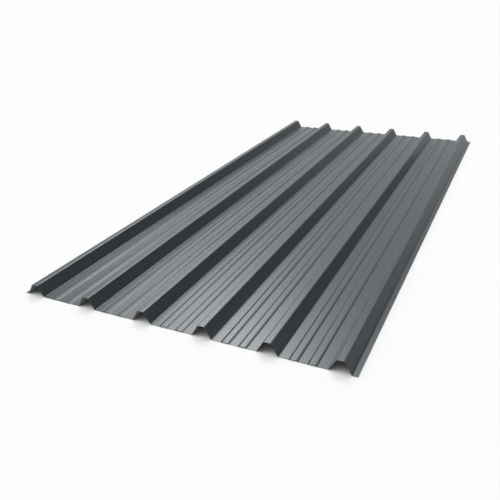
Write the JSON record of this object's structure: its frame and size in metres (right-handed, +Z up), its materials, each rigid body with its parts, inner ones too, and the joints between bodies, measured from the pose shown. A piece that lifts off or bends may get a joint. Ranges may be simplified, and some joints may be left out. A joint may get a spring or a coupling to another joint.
{
  "type": "trapezoidal profiled metal sheet",
  "caption": "Dark grey coated steel roofing sheet with raised trapezoidal ribs, flat pans with shallow stiffeners and narrow side lips, laid side by side as roof or wall cladding.",
  "frame": {"origin": "middle of the sheet's footprint, on the surface that it lies on", "axes": "+X across the ribs towards the wider lip, +Y along the ribs, +Z up out of the weather face"},
  "size_m": [1.0916, 2.3, 0.037],
  "materials": {
    "coated_steel": "satin"
  },
  "bodies": {
    "root": {"profiled_sheet": "coated_steel"}
  },
  "joints": []
}
